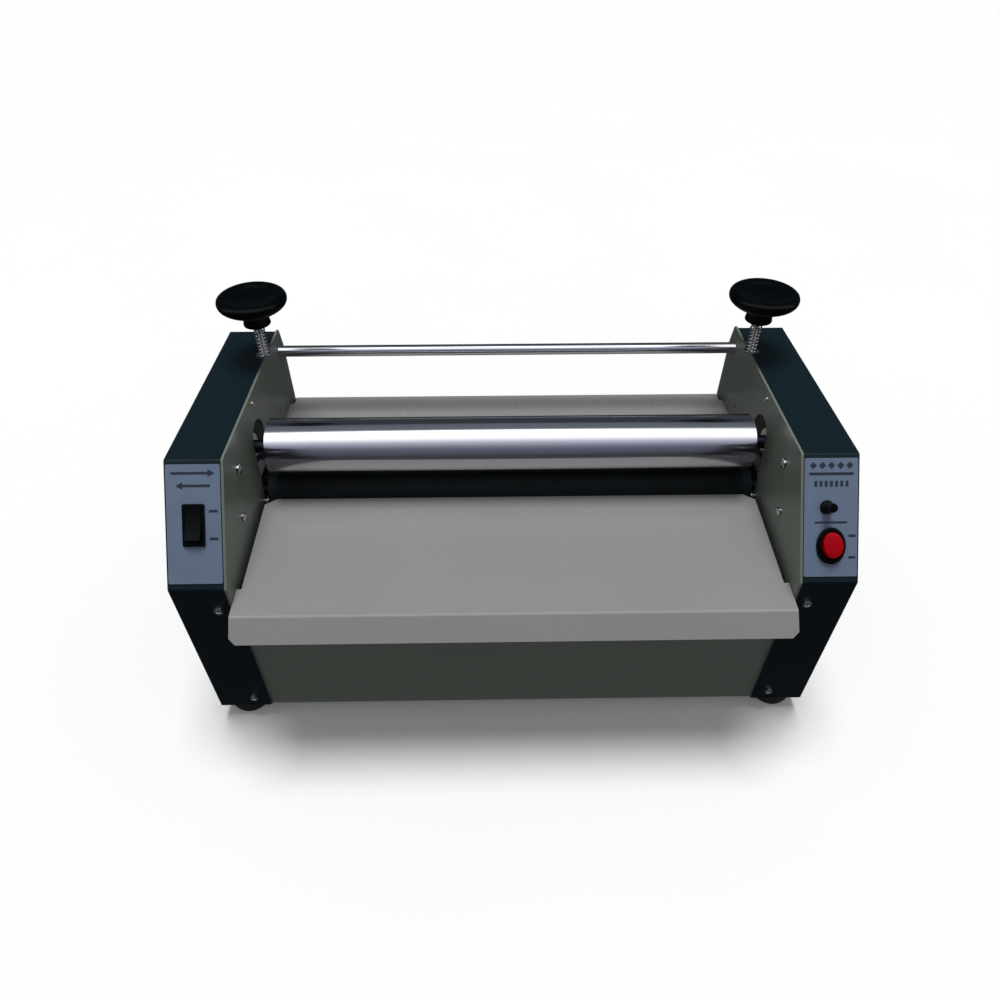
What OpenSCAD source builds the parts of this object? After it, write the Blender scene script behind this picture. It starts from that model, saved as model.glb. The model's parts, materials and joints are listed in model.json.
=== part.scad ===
// Cold roll laminator: a chrome pressure roller over a driven rubber roller,
// between two side plates with control housings.
// Machine axes: X across the rollers, Y from the feed side to the exit side, Z up.
// Every sub-part is drawn from the housings' lower front edge, then placed() moves
// it to the frame: origin under the middle of the machine, on the surface it stands on.

/* [Housings] */
// Half of the clear width between the two side plates
gap_half = 220; // [180:1:330]
// Width of one side housing, plate included
housing_w = 45.6; // [42:0.2:60]
// Depth of the housings from front to back
depth = 264.2; // [262:0.2:290]
// Height of the housings without feet
top_z = 238.6; // [236:0.2:250]
// Height at which the sloping control panel starts
panel_z = 161.8; // [158:0.2:170]
// How far back the control panel leans at its top edge
panel_y = 63.3; // [58:0.1:66]
// Thickness of the side plates
plate_t = 2; // [1.5:0.1:3]
// How far the side plates stand proud of the covers
plate_lip = 1.2; // [0.5:0.1:2]
// Sheet thickness of the covers, trays and aprons
sheet_t = 1.5; // [1:0.1:2]

/* [Rollers] */
// Radius of both rollers
roller_r = 24.5; // [22:0.1:24.6]
// Distance from the housings' front to the roller axes
roller_y = 132; // [128:0.5:136]
// Height of the lower roller's axis
roller_z = 148; // [146:0.1:148.2]
// Gap between the rollers when they are closed
nip_gap = 0.35; // [0.3:0.05:1]
// Half length of the chrome roller
chrome_half = 207; // [167:1:317]
// Half length of the rubber roller's sleeve
rubber_half = 214; // [166:1:316]
// Wall thickness of the rubber sleeve
rubber_t = 5; // [3:0.5:8]
// Radius of the roller journals
journal_r = 6; // [5:0.5:7]

/* [Trays] */
// Half width of the trays between the plates
tray_half = 215.5; // [175:0.5:325]
// Half width of the front tray at its fold
fold_half = 219.5; // [179:0.5:329]
// Length of the front tray's turned-down lip
lip_len = 21.6; // [12:0.2:26]

/* [Pressure screws] */
// Distance from the middle of the machine to the screw axes
screw_x = 223.6; // [223.4:0.1:224]
// Distance from the housings' front to the screw axes
screw_y = 218; // [215:0.5:220]
// Radius of the pressure screws
screw_r = 2.5; // [2.3:0.1:2.6]
// Diameter of the knobs
knob_d = 60; // [45:0.5:70]
// Turns in one spring
spring_turns = 10; // [6:1:12]

/* [Feet] */
// Height of the rubber feet
foot_h = 14; // [10:0.5:20]
// Diameter of the rubber feet
foot_d = 36; // [24:1:38]

/* [Hidden] */
$fn = 48;
tiny = 0.1;

// Derived positions
plate_out = gap_half + plate_t;
outer_x = gap_half + housing_w;
tilt = atan2(panel_y, top_z - panel_z);
panel_len = norm([panel_y, top_z - panel_z]);
upper_z = roller_z + 2 * roller_r + nip_gap;
fold_y = -13.9;
fold_z = 146;
tray_back_y = 108.3;
tray_back_z = 157.1;
tray_corner = [10, 7];
rear_tray_z = 165;
rear_tray_end = 255;
apron_y = 3;
apron_end = 258;
front_y = fold_y - lip_len * cos(45);
mid_y = (front_y + depth + plate_lip) / 2;
rod_y = 249;
rod_z = 222.3;
rod_r = 5.3;
foot_x = gap_half + 25;
foot_ys = [19.5, 244];
cover_screw_x = plate_out + 10.9;
lap_z = 128;
gland_x = -150;
gland_z = 32;

// Pressure arm: pivot, thickness and the height of its rear end
arm_pivot = [82, 214];
arm_t = 6;
arm_x = plate_out + 0.5;
arm_end_z = 208;

// Nut block of a pressure screw, let into a pocket of the side plate
block_x0 = gap_half + 0.7;
block_half = 12;
block_z0 = 223;
block_z1 = top_z - sheet_t - 0.6;
spring_notch_r = 5.7;
spring_hole_r = 8.5;

// Gears in the right housing
gear_module = 1.5;
gear_teeth = 60;
pinion_teeth = 20;
gear_w = 8;
gear_x = plate_out + 12;
motor_z = roller_z - gear_module * (gear_teeth + pinion_teeth) / 2;
shaft_r = 4;
motor_screw_r = 22;
pivot_r = 4;
slot_low_r = 13.5;
slot_high_r = 16.5;
fit = 0.05;

module placed() {
    translate([0, -mid_y, foot_h]) children();
}

// side = 1 draws the right-hand piece, side = -1 mirrors it to the left
module on_side(side) {
    mirror([side < 0 ? 1 : 0, 0, 0]) children();
}

module both_sides() {
    for (side = [-1, 1]) on_side(side) children();
}

// A profile drawn in Y and Z, run along X from x0 to x1
module along_x(x0, x1) {
    translate([x0, 0, 0]) rotate([90, 0, 90]) linear_extrude(x1 - x0) children();
}

module rod_x(y, z, r, x0, x1) {
    translate([x0, y, z]) rotate([0, 90, 0]) cylinder(h = x1 - x0, r = r);
}

module box(x0, x1, y0, y1, z0, z1) {
    translate([x0, y0, z0]) cube([x1 - x0, y1 - y0, z1 - z0]);
}

// A place on the control panel: x across the machine, u up the slope, z outward
module on_panel(x, u) {
    translate([x, u * sin(tilt), panel_z + u * cos(tilt)]) rotate([90 - tilt, 0, 0]) children();
}

module pan_head(r, h) {
    cylinder(h = h * 0.55, r = r);
    translate([0, 0, h * 0.55]) cylinder(h = h * 0.45, r1 = r, r2 = r * 0.62);
}

// Cross-recessed pan head whose seat is at the origin and which points up
module cross_head(r, h) {
    difference() {
        pan_head(r, h);
        for (turn = [0, 90]) {
            rotate([0, 0, turn]) translate([-r * 0.55, -r * 0.1, h * 0.45]) cube([r * 1.1, r * 0.2, h]);
        }
    }
}

// Rounded convex outline: each corner becomes an arc of radius r
function unit(v) = v / norm(v);
function corner_in(p, i) = unit(p[(i + len(p) - 1) % len(p)] - p[i]);
function corner_out(p, i) = unit(p[(i + 1) % len(p)] - p[i]);
function corner_half(p, i) = acos(corner_in(p, i) * corner_out(p, i)) / 2;
function corner_centre(p, i, r) =
    p[i] + unit(corner_in(p, i) + corner_out(p, i)) * r / sin(corner_half(p, i));

// Points of an arc about c, from angle a0 to angle a1
arc_steps = 8;
function arc(c, r, a0, a1) =
    [for (k = [0:arc_steps]) let (a = a0 + (a1 - a0) * k / arc_steps) c + r * [cos(a), sin(a)]];
function corner_arc(p, i, r) = let (
        first = corner_in(p, i),
        turn = 180 - 2 * corner_half(p, i),
        start = atan2(first[1], first[0]) + 90)
    arc(corner_centre(p, i, r), r, start, start + turn);

// The outline's corners run anticlockwise
module rounded(p, r) {
    polygon([for (i = [0:len(p) - 1]) each corner_arc(p, i, r)]);
}

module rounded_rect(w, h, r) {
    rounded([[-w / 2, -h / 2], [w / 2, -h / 2], [w / 2, h / 2], [-w / 2, h / 2]], r);
}

// Outline of a housing seen from the side, grown outward by g (bottom grown by b)
function side_outline(g, b) = [
    [depth + g, -b],
    [depth + g, top_z - 18],
    [depth + g - 5, top_z + g],
    [panel_y - g * tan((90 - tilt) / 2), top_z + g],
    [-g, panel_z + g * tan(tilt / 2)],
    [-g, -b]
];

// A flat link between a round end about a and a smaller or equal one about b
module link(a, ra, b, rb) {
    along = atan2(b[1] - a[1], b[0] - a[0]);
    lean = asin((ra - rb) / norm(b - a));
    polygon(concat(
        arc(a, ra, along + 90 - lean, along + 270 + lean),
        arc(b, rb, along - 90 + lean, along + 90 - lean)));
}

// Holes in a side plate, drawn in Y and Z
screw_spot = [64, 178];
small_hole = [210.6, 180];
cover_screw_z = [14, 137];
spacer_spots = [[24, 140], [90, 144]];
block_spots = [[-15, -14], [15, -14]];

module plate_holes() {
    link([roller_y + 10, upper_z + 2.2], slot_high_r, [roller_y + 1, roller_z + 4.7], slot_low_r);
    translate(arm_pivot) circle(r = pivot_r + fit);
    translate(screw_spot) circle(r = 2);
    translate(small_hole) circle(r = 1.5);
    for (spot = spacer_spots) translate(spot) circle(r = 2);
    for (spot = block_spots) translate([roller_y, roller_z] + spot) circle(r = 2);
}

module side_plate(side) {
    color("#7d7f74") placed() on_side(side) difference() {
        along_x(gap_half, plate_out) rounded(side_outline(plate_lip, 0), 2.5);
        along_x(gap_half - tiny, plate_out + tiny) plate_holes();
        // the cover's front wall laps over this edge below the tray
        box(gap_half - tiny, plate_out + tiny, -plate_lip - tiny, sheet_t, -tiny, lap_z);
        rod_x(rod_y, rod_z, 3, gap_half - tiny, plate_out + tiny);
        // notch for the spring, relief beside the screw and pocket for the nut block
        translate([screw_x, screw_y, block_z1 - 0.3]) cylinder(h = 10, r = spring_notch_r);
        translate([screw_x, screw_y, arm_end_z - 4]) cylinder(h = 50, r = screw_r + 0.3);
        box(block_x0, plate_out + tiny, screw_y - block_half, screw_y + block_half, block_z0, block_z1);
        if (side > 0) {
            rod_x(roller_y, motor_z, 12, gap_half - tiny, plate_out + tiny);
            for (turn = [45:90:315]) {
                rod_x(roller_y + motor_screw_r * cos(turn), motor_z + motor_screw_r * sin(turn), 2.1,
                    gap_half - tiny, plate_out + tiny);
            }
        }
    }
}

// Cut-outs in the control panel of one cover
module panel_cutouts(side) {
    if (side < 0) {
        on_panel(-rocker_x, rocker_u) linear_extrude(20, center = true)
            square([14.6, 28.6], center = true);
    } else {
        on_panel(power_x, power_u) linear_extrude(20, center = true) oval(19, 25);
        on_panel(speed_x, speed_u) cylinder(h = 20, r = 3.6, center = true);
    }
}

module cover(side) {
    color("#152530") placed() difference() {
        on_side(side) difference() {
            union() {
                along_x(plate_out, outer_x) rounded(side_outline(0, 0), 2.5);
                box(gap_half, plate_out + 2, 0, sheet_t, 3, lap_z - 0.3);
            }
            along_x(plate_out - tiny, outer_x - sheet_t) rounded(side_outline(-sheet_t, -sheet_t), 1);
            translate([screw_x, screw_y, top_z - 5]) cylinder(h = 10, r = spring_hole_r);
            for (z = cover_screw_z) {
                translate([cover_screw_x, -5, z]) rotate([-90, 0, 0]) cylinder(h = 10, r = 1.6);
            }
            for (y = foot_ys) translate([foot_x, y, -5]) cylinder(h = 10, r = 2.1);
        }
        panel_cutouts(side);
    }
}

// Front tray: a sheet that runs from the nip to a fold, with a lip at 45 degrees
tray_slope = atan2(tray_back_z - fold_z, tray_back_y - fold_y);
lip_dir = [-cos(45), -sin(45)];

module front_tray() {
    fold = [fold_y, fold_z];
    lip_end = fold + lip_len * lip_dir;
    back = [tray_back_y, tray_back_z];
    down = sheet_t * [sin(tray_slope), -cos(tray_slope)];
    color("#b9b5a6") placed() {
        difference() {
            along_x(-fold_half, fold_half)
                polygon([back, fold, lip_end, lip_end + sheet_t * [cos(45), -sin(45)],
                    fold + sheet_t * [tan((45 - tray_slope) / 2) + tan(tray_slope), -1], back + down]);
            both_sides() {
                box(tray_half, fold_half + 1, 12, tray_back_y + 5, fold_z - 10, tray_back_z + 5);
                translate([tray_half, tray_back_y, tray_back_z - 10]) linear_extrude(20)
                    polygon([[-tray_corner[0], tiny], [1, tiny], [1, -tray_corner[1]]]);
                translate([fold_half, lip_end[0], lip_end[1]]) rotate([45, 0, 0])
                    rotate([0, 0, 45]) cube([7, 7, 20], center = true);
            }
        }
        both_sides() difference() {
            along_x(tray_half - sheet_t, tray_half)
                polygon([[14, 147.8], [96, 155.2], [96, 140], [14, 133]]);
            for (spot = spacer_spots) rod_x(spot[0], spot[1], 2, tray_half - 3, tray_half + 1);
        }
    }
}

module rear_tray() {
    color("#b9b5a6") placed() {
        z0 = rear_tray_z - sheet_t;
        box(-tray_half, tray_half, 162, rear_tray_end, z0, rear_tray_z);
        box(-tray_half, tray_half, rear_tray_end - sheet_t, rear_tray_end, z0 - 14, rear_tray_z);
        box(-tray_half, tray_half, 162, 162 + sheet_t, z0 - 7, rear_tray_z);
        both_sides() box(tray_half - 8, gap_half, 175, 245, z0 - sheet_t, z0);
    }
}

// Upright skin between the plates, with its side flanges
module apron(y0, y1, flange_y0, flange_y1, z1) {
    box(-gap_half, gap_half, y0, y1, 0, z1);
    both_sides() box(gap_half - sheet_t, gap_half, flange_y0, flange_y1, 4, z1 - 4);
}

module front_apron() {
    color("#8f8b7c") placed() apron(apron_y, apron_y + sheet_t, apron_y + sheet_t, 14, 128);
}

module rear_apron() {
    color("#8f8b7c") placed() difference() {
        apron(apron_end, apron_end + sheet_t, 248, apron_end, 161);
        translate([gland_x, 250, gland_z]) rotate([-90, 0, 0]) cylinder(h = 20, r = 8);
    }
}

module base_plate() {
    color("dimgray") placed() difference() {
        box(-gap_half, gap_half, apron_y + sheet_t, apron_end, 0, sheet_t);
        for (x = [-120:30:0], y = [170, 200]) translate([x, y, -1]) cylinder(h = 5, r = 4);
    }
}

module rear_tie_rod() {
    color("silver") placed() {
        rod_x(rod_y, rod_z, rod_r, -gap_half, gap_half);
        rod_x(rod_y, rod_z, 2.8, -plate_out - 3, plate_out + 3);
    }
}

module lower_tie_rods() {
    color("gray") placed() {
        rod_x(30, 20, 5, -gap_half, gap_half);
        rod_x(238, 20, 5, -gap_half, gap_half);
    }
}

module tray_spacers() {
    color("gray") placed() both_sides() {
        for (spot = spacer_spots) rod_x(spot[0], spot[1], 4, tray_half, gap_half);
        for (spot = spacer_spots) rod_x(spot[0], spot[1], 1.9, tray_half - 3, plate_out + 1);
    }
}

module feet() {
    color("#111111") placed() both_sides() for (y = foot_ys) translate([foot_x, y, -foot_h]) {
        difference() {
            union() {
                cylinder(h = 4, r1 = foot_d / 2 - 1.5, r2 = foot_d / 2);
                translate([0, 0, 4]) cylinder(h = foot_h - 4, r1 = foot_d / 2, r2 = foot_d / 2 - 1);
            }
            translate([0, 0, foot_h - 4]) cylinder(h = 5, r = 2);
            translate([0, 0, -1]) cylinder(h = 6, r = 6);
        }
    }
}

module foot_screws() {
    color("silver") placed() both_sides() for (y = foot_ys) translate([foot_x, y, 0]) {
        translate([0, 0, sheet_t]) cross_head(3.8, 2.6);
        translate([0, 0, -3.9]) cylinder(h = 4 + sheet_t, r = 1.95);
    }
}

// Screws whose heads show on the inner faces of the side plates
module plate_screws() {
    color("silver") placed() both_sides() {
        translate([gap_half, screw_spot[0], screw_spot[1]]) rotate([0, -90, 0]) cross_head(3.4, 2.2);
        rod_x(screw_spot[0], screw_spot[1], 1.9, gap_half - tiny, plate_out + 2);
        // screws of the lower bearing blocks, driven from the housing
        for (spot = block_spots) translate([lower_block_x1, roller_y + spot[0], roller_z + spot[1]]) {
            rotate([0, 90, 0]) cross_head(3.4, 2.2);
            rod_x(0, 0, 1.9, gap_half + 0.2 - lower_block_x1, tiny);
        }
        // screw that stands off the plate behind the front tray's corner
        translate([gap_half - 2.5, 115.5, 149.3]) rotate([0, -90, 0]) cross_head(3.2, 2);
        rod_x(115.5, 149.3, 1.6, gap_half - 2.6, gap_half);
        // small screw near the top edge
        translate([gap_half, 147, 232]) rotate([0, -90, 0]) cross_head(2.2, 1.6);
    }
}

module cover_screws() {
    color("silver") placed() both_sides() {
        for (z = cover_screw_z) translate([cover_screw_x, 0, z]) rotate([90, 0, 0]) {
            cross_head(3.6, 2.4);
            translate([0, 0, -6]) cylinder(h = 6.1, r = 1.5);
        }
    }
}

// Label plates on the control panels
label_w = 41.4;
label_l = 91.4;
label_x = plate_out + 0.9 + label_w / 2;
label_u = panel_len / 2 + 0.7;
label_t = 0.8;
rocker_x = 243.5;
rocker_u = 49.8;
power_x = 243.4;
power_u = 28.8;
speed_x = 240.4;
speed_u = 58.4;
mark_t = 0.25;

module oval(w, h) {
    polygon([for (a = [0:7.5:359]) [w / 2 * cos(a), h / 2 * sin(a)]]);
}

module left_label_plate() {
    color("#6d7d92") placed() difference() {
        on_panel(-label_x, label_u) linear_extrude(label_t) rounded_rect(label_w, label_l, 1.5);
        on_panel(-rocker_x, rocker_u) linear_extrude(20, center = true)
            square([14.6, 28.6], center = true);
    }
}

module right_label_plate() {
    color("#6d7d92") placed() difference() {
        on_panel(label_x, label_u) linear_extrude(label_t) rounded_rect(label_w, label_l, 1.5);
        on_panel(power_x, power_u) linear_extrude(20, center = true) oval(19, 25);
        on_panel(speed_x, speed_u) cylinder(h = 20, r = 3.6, center = true);
    }
}

// Plain arrow symbol, pointing to +x for dir = 1
module arrow(length, dir) {
    scale([dir, 1]) {
        translate([-length / 2, -0.9]) square([length - 5, 1.8]);
        polygon([[length / 2 - 5, -2.8], [length / 2, 0], [length / 2 - 5, 2.8]]);
    }
}

module left_label_marks() {
    color("#1c2430") placed() {
        on_panel(-label_x, 89.5) translate([0, 0, label_t]) linear_extrude(mark_t) arrow(33, 1);
        on_panel(-label_x, 79.9) translate([0, 0, label_t]) linear_extrude(mark_t) arrow(26, -1);
        for (u = [60.5, 39.4]) {
            on_panel(-228.6, u) translate([0, 0, label_t]) linear_extrude(mark_t)
                square([6.5, 1.8], center = true);
        }
    }
}

module right_label_marks() {
    color("#1c2430") placed() {
        on_panel(label_x, 90.6) translate([0, 0, label_t]) linear_extrude(mark_t)
            for (i = [-2:2]) translate([i * 7, 0]) rotate(45) square(3.8, center = true);
        on_panel(label_x, 84.2) translate([0, 0, label_t]) linear_extrude(mark_t)
            square([34, 2], center = true);
        on_panel(label_x, 76.6) translate([0, 0, label_t]) linear_extrude(mark_t)
            for (i = [-3:3]) translate([i * 4, 0]) square([2.2, 4.4], center = true);
        on_panel(label_x, 46.8) translate([0, 0, label_t]) linear_extrude(mark_t)
            square([25, 1.4], center = true);
        for (u = [36.4, 19.7]) {
            on_panel(260, u) translate([0, 0, label_t]) linear_extrude(mark_t)
                square([5.5, 1.7], center = true);
        }
    }
}

// Lower roller: journals, core, rubber sleeve, bearings and drive gear
lower_block_x1 = plate_out + 9;

module lower_bearing_blocks() {
    color("dimgray") placed() both_sides() difference() {
        along_x(plate_out, lower_block_x1) translate([roller_y, roller_z]) rounded_rect(44, 38, 4);
        rod_x(roller_y, roller_z, 14, plate_out - tiny, lower_block_x1 + tiny);
        for (spot = block_spots) {
            rod_x(roller_y + spot[0], roller_z + spot[1], 2, plate_out - tiny, lower_block_x1 + tiny);
        }
    }
}

module ring_x(y, z, r_out, r_in, x0, x1) {
    difference() {
        rod_x(y, z, r_out, x0, x1);
        rod_x(y, z, r_in, x0 - tiny, x1 + tiny);
    }
}

module lower_bearings() {
    color("silver") placed() both_sides()
        ring_x(roller_y, roller_z, 14, journal_r + fit, plate_out + 0.5, lower_block_x1);
}

module lower_roller_core() {
    color("gray") placed() {
        rod_x(roller_y, roller_z, roller_r - rubber_t, -rubber_half, rubber_half);
        rod_x(roller_y, roller_z, journal_r, -lower_block_x1 - 1, gear_x + gear_w + 2);
    }
}

module lower_roller_sleeve() {
    color("#101010") placed()
        ring_x(roller_y, roller_z, roller_r, roller_r - rubber_t, -rubber_half, rubber_half);
}

// Involute tooth: half angle of the tooth at radius r
backlash = 0.3;
function inv(a) = tan(a) * 180 / PI - a;
function tooth_half(n, r) =
    (PI * gear_module / 2 - backlash) / (gear_module * n) * 180 / PI
    + inv(20) - inv(acos(min(1, gear_module * n / 2 * cos(20) / r)));
function gear_points(n) = let (
        r_root = gear_module * (n / 2 - 1.25),
        r_base = max(r_root + 0.05, gear_module * n / 2 * cos(20)),
        r_tip = gear_module * (n / 2 + 1),
        radii = [r_root, for (k = [0:3]) r_base + (r_tip - r_base) * k / 3])
    [for (i = [0:n - 1], s = [-1, 1], k = [0:4])
        let (r = radii[s < 0 ? k : 4 - k], a = i * 360 / n + s * tooth_half(n, max(r, r_base)))
        [r * cos(a), r * sin(a)]];

module drive_gear() {
    color("goldenrod") placed() difference() {
        translate([gear_x, roller_y, roller_z]) rotate([90, 0, 90]) linear_extrude(gear_w)
            polygon(gear_points(gear_teeth));
        rod_x(roller_y, roller_z, journal_r, gear_x - tiny, gear_x + gear_w + tiny);
        for (turn = [0:60:300]) {
            rod_x(roller_y + 26 * cos(turn), roller_z + 26 * sin(turn), 8,
                gear_x - tiny, gear_x + gear_w + tiny);
        }
    }
}

module motor_pinion() {
    color("goldenrod") placed() difference() {
        translate([gear_x, roller_y, motor_z]) rotate([90, 0, 90]) linear_extrude(gear_w)
            rotate(180 / pinion_teeth) polygon(gear_points(pinion_teeth));
        rod_x(roller_y, motor_z, shaft_r, gear_x - tiny, gear_x + gear_w + tiny);
    }
}

module motor_output_shaft() {
    color("silver") placed() rod_x(roller_y, motor_z, shaft_r, gap_half - 20, gear_x + gear_w + 1);
}

module gearbox() {
    color("silver") placed() difference() {
        union() {
            rod_x(roller_y, motor_z, 29.5, gap_half - 42, gap_half);
            rod_x(roller_y, motor_z, 11.5, gap_half - 1, plate_out + 3);
        }
        rod_x(roller_y, motor_z, shaft_r + fit, gap_half - 21, plate_out + 4);
        for (turn = [45:90:315]) {
            rod_x(roller_y + motor_screw_r * cos(turn), motor_z + motor_screw_r * sin(turn), 2,
                gap_half - 9, gap_half + 1);
        }
    }
}

module motor_can() {
    color("#303438") placed() {
        rod_x(roller_y, motor_z, 26, gap_half - 130, gap_half - 42);
        rod_x(roller_y, motor_z, 8, gap_half - 134, gap_half - 129);
    }
}

module motor_screws() {
    color("silver") placed() for (turn = [45:90:315])
        translate([0, roller_y + motor_screw_r * cos(turn), motor_z + motor_screw_r * sin(turn)]) {
            translate([plate_out, 0, 0]) rotate([0, 90, 0]) cross_head(3.4, 2.4);
            rod_x(0, 0, 1.9, gap_half - 8, plate_out + tiny);
        }
}

// Pressure arms with the upper roller's bearings
bearing_r = 12;

module pressure_arm(side) {
    color("#202225") placed() on_side(side) difference() {
        along_x(arm_x, arm_x + arm_t) {
            link([roller_y, upper_z], 17, arm_pivot, 11);
            link([roller_y, upper_z], 17, [screw_y - 8, arm_end_z - 7], 7);
            translate([screw_y - 10, arm_end_z - 12]) square([20, 12]);
        }
        rod_x(arm_pivot[0], arm_pivot[1], pivot_r + fit, arm_x - tiny, arm_x + arm_t + tiny);
        rod_x(roller_y, upper_z, bearing_r, arm_x - tiny, arm_x + arm_t + tiny);
    }
}

module upper_bearings() {
    color("silver") placed() both_sides()
        ring_x(roller_y, upper_z, bearing_r, journal_r + fit, arm_x, arm_x + arm_t);
}

module arm_pivot_bolts() {
    color("silver") placed() both_sides() {
        translate([gap_half, arm_pivot[0], arm_pivot[1]]) rotate([0, -90, 0]) cross_head(pivot_r, 2.6);
        rod_x(arm_pivot[0], arm_pivot[1], pivot_r, gap_half - tiny, arm_x + arm_t + 5);
        translate([arm_x + arm_t + 0.5, arm_pivot[0], arm_pivot[1]]) rotate([0, 90, 0])
            cylinder(h = 4, r = 7, $fn = 6);
    }
}

module upper_roller_tube() {
    color("silver") placed()
        ring_x(roller_y, upper_z, roller_r, roller_r - 4, -chrome_half, chrome_half);
}

module upper_roller_shaft() {
    color("gray") placed() {
        rod_x(roller_y, upper_z, journal_r, -arm_x - arm_t - 1, arm_x + arm_t + 1);
        both_sides() rod_x(roller_y, upper_z, roller_r - 4, chrome_half - 12, chrome_half - 1);
    }
}

// Pressure screws
spring_z0 = block_z1;
spring_z1 = top_z + 29.5;
screw_top_z = 284;
pad_z = arm_end_z + 0.3;
pad_r = 2.4;
pad_h = 6;
tip_r = 1.5;

module nut_block(side) {
    color("dimgray") placed() on_side(side) difference() {
        box(block_x0, plate_out + 14, screw_y - block_half, screw_y + block_half, block_z0, block_z1);
        translate([screw_x, screw_y, block_z0 - 1]) cylinder(h = 30, r = screw_r + fit);
    }
}

module thrust_pad(side) {
    color("silver") placed() on_side(side) translate([screw_x, screw_y, pad_z]) difference() {
        cylinder(h = pad_h, r = pad_r);
        translate([0, 0, 1.5]) cylinder(h = pad_h, r = tip_r + fit);
    }
}

module pressure_screw(side) {
    color("silver") placed() on_side(side) translate([screw_x, screw_y, 0]) {
        translate([0, 0, pad_z + 1.6]) cylinder(h = 8, r = tip_r);
        translate([0, 0, pad_z + pad_h + 0.5])
            cylinder(h = screw_top_z - pad_z - pad_h - 0.5, r = screw_r);
    }
}

// Mushroom knob: neck, flared underside, round rim and dished top
knob_neck_r = 12;
knob_z0 = spring_z1 + 0.4;
rim_z = 290.6;
rim_r = 5.6;
neck_fillet = 5;

function knob_outline() = concat(
    [[0, knob_z0], [knob_neck_r - 1, knob_z0], [knob_neck_r, knob_z0 + 1]],
    [for (a = [180:-15:105])
        [knob_neck_r - 0.6 + neck_fillet * (1 + cos(a)), rim_z - 15.6 + neck_fillet * sin(a)]],
    [for (a = [-75:15:120]) [knob_d / 2 - rim_r + rim_r * cos(a), rim_z + rim_r * sin(a)]],
    [[16, rim_z + 2.2], [8, rim_z + 1.4], [0, rim_z + 1.2]]);

module knob(side) {
    color("#0c0c0d") placed() on_side(side) translate([screw_x, screw_y, 0]) difference() {
        rotate_extrude($fn = 96) polygon(knob_outline());
        translate([0, 0, knob_z0 - 1]) cylinder(h = screw_top_z - knob_z0 + 1, r = screw_r);
    }
}

// Coil spring as one swept tube
wire_r = 0.75;
coil_r = 4.5;
spring_steps = 16;
spring_sides = 6;
spring_rings = spring_turns * spring_steps;
function spring_point(i, j) = let (
        a = 360 * i / spring_steps,
        b = 360 * j / spring_sides,
        r = coil_r + wire_r * cos(b),
        z = wire_r + (spring_z1 - spring_z0 - 2 * wire_r) * i / spring_rings + wire_r * sin(b))
    [r * cos(a), r * sin(a), spring_z0 + z];

module spring(side) {
    n = spring_sides;
    color("silver") placed() on_side(side) translate([screw_x, screw_y, 0]) polyhedron(
        points = [for (i = [0:spring_rings], j = [0:n - 1]) spring_point(i, j)],
        faces = concat(
            [for (i = [0:spring_rings - 1], j = [0:n - 1])
                [i * n + j, i * n + (j + 1) % n, (i + 1) * n + (j + 1) % n, (i + 1) * n + j]],
            [[for (j = [n - 1:-1:0]) j]],
            [[for (j = [0:n - 1]) spring_rings * n + j]]));
}

// Motor reversing switch in the left panel
module reverse_switch_body() {
    color("#0d0d0f") placed() on_panel(-rocker_x, rocker_u) difference() {
        union() {
            translate([0, 0, label_t]) linear_extrude(1.7) rounded_rect(17, 32.6, 1.5);
            translate([0, 0, -15]) linear_extrude(16) square([14.4, 28.4], center = true);
        }
        translate([0, 0, -10]) linear_extrude(20) square([12.4, 26.4], center = true);
    }
}

// Rocker seen from its side: x along its length, y outward, pivot at the origin
rocker_tilt = 9;
module rocker_side(l, h) {
    polygon([[-l / 2, -3], [-l / 2, h], [0, h - 1.8], [l / 2, h], [l / 2, -3], [0, -5]]);
}

module reverse_rocker() {
    color("#141416") placed() on_panel(-rocker_x, rocker_u) rotate([-rocker_tilt, 0, 0])
        translate([-5.9, 0, 0]) rotate([90, 0, 90]) linear_extrude(11.8) rocker_side(25, 4.6);
}

// Mains switch in the right panel
module power_switch_body() {
    color("#0d0d0f") placed() on_panel(power_x, power_u) difference() {
        union() {
            translate([0, 0, label_t]) linear_extrude(2) oval(22.4, 28.4);
            translate([0, 0, label_t + 2]) linear_extrude(1.2) oval(20.4, 26.4);
            translate([0, 0, -16]) linear_extrude(17) oval(18.8, 24.8);
        }
        translate([0, 0, -11]) linear_extrude(20) oval(17.4, 23);
    }
}

module power_rocker() {
    color("#c40f1a") placed() on_panel(power_x, power_u) rotate([-rocker_tilt, 0, 0]) intersection() {
        translate([0, 0, -6]) linear_extrude(20) oval(15.2, 20);
        translate([-10, 0, 0]) rotate([90, 0, 90]) linear_extrude(20)
            polygon([[-11, -3], [-11, 5.2], [-6, 6.4], [0, 6.8], [6, 6.4], [11, 5.2], [11, -3], [0, -6]]);
    }
}

// Speed control: a short spindle cap in a threaded bush
module speed_control_body() {
    color("silver") placed() on_panel(speed_x, speed_u) difference() {
        union() {
            translate([0, 0, -13]) cylinder(h = 11, r = 8);
            translate([0, 0, -3]) cylinder(h = 7, r = 3.5);
            translate([0, 0, label_t]) cylinder(h = 0.6, r = 5.6);
            translate([0, 0, label_t + 0.6]) cylinder(h = 1.8, r = 4.9, $fn = 6);
        }
        translate([0, 0, -8]) cylinder(h = 14, r = 1.5 + fit);
    }
}

module speed_control_knob() {
    color("#15161a") placed() on_panel(speed_x, speed_u) difference() {
        union() {
            translate([0, 0, -7]) cylinder(h = 12, r = 1.5);
            translate([0, 0, 4.3]) cylinder(h = 7.2, r = 3.5);
            translate([0, 0, 11.5]) cylinder(h = 0.6, r1 = 3.5, r2 = 2.9);
        }
        translate([-0.4, -4, 11.2]) cube([0.8, 8, 2]);
    }
}

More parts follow.
